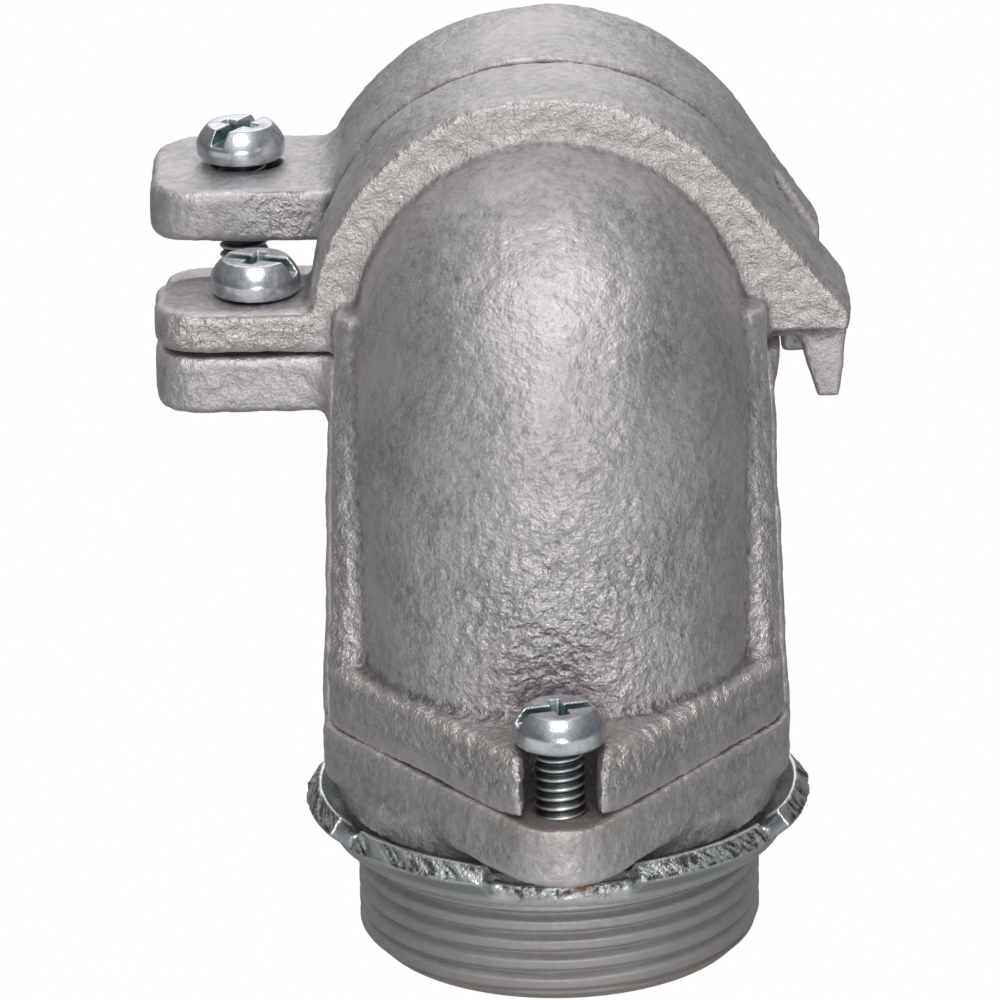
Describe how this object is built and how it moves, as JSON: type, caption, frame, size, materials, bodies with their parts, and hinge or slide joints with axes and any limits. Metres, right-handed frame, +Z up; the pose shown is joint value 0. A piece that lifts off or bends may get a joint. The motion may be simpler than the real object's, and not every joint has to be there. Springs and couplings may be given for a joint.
{
  "type": "angled squeeze connector",
  "caption": "Right-angle conduit connector: threaded hub with locknut, split elbow with a screwed cover, and a hooked clamp strap that a screw draws down.",
  "frame": {"origin": "on the axis of the hub, at the height of the shoulder that meets the box wall", "axes": "+Z up the axis of the hub, +Y the way the conduit leaves, the screw ears towards -X"},
  "size_m": [0.0745, 0.0759, 0.091],
  "materials": {
    "casting": "rough sand casting, zinc plated",
    "locknut": "stamped steel, zinc plated, torn edges",
    "screw": "bright zinc plate"
  },
  "bodies": {
    "fitting": {"body": "casting", "cover": "casting"},
    "strap": {"strap": "casting"},
    "strap_screw": {"strap_screw": "screw"},
    "locknut": {"locknut": "locknut"},
    "cover_screw_front": {"cover_screw_front": "screw"},
    "cover_screw_side": {"cover_screw_side": "screw"}
  },
  "joints": [
    {"name": "strap_swing", "type": "hinge", "parent": "fitting", "child": "strap", "pos_m": [0.0273, 0.03175, 0.045], "axis": [0, -1, 0], "range_deg": [-1.5, 6]},
    {"name": "strap_screw_travel", "type": "slide", "parent": "fitting", "child": "strap_screw", "axis": [0, 0, -1], "range_m": [-0.0017, 0.0065]},
    {"name": "locknut_spin", "type": "hinge", "parent": "fitting", "child": "locknut", "pos_m": [0, 0, -0.0024], "axis": [0, 0, 1], "continuous": true},
    {"name": "cover_screw_front_turn", "type": "hinge", "parent": "fitting", "child": "cover_screw_front", "pos_m": [0, -0.027, 0.0085], "axis": [0, 0, 1], "continuous": true},
    {"name": "cover_screw_side_turn", "type": "hinge", "parent": "fitting", "child": "cover_screw_side", "pos_m": [-0.0311, 0.01325, 0.0435], "axis": [0, 0, 1], "continuous": true}
  ],
  "couplings": [
    {"joint": "strap_screw_travel", "follows": "strap_swing", "m_per_rad": 0.0603}
  ]
}
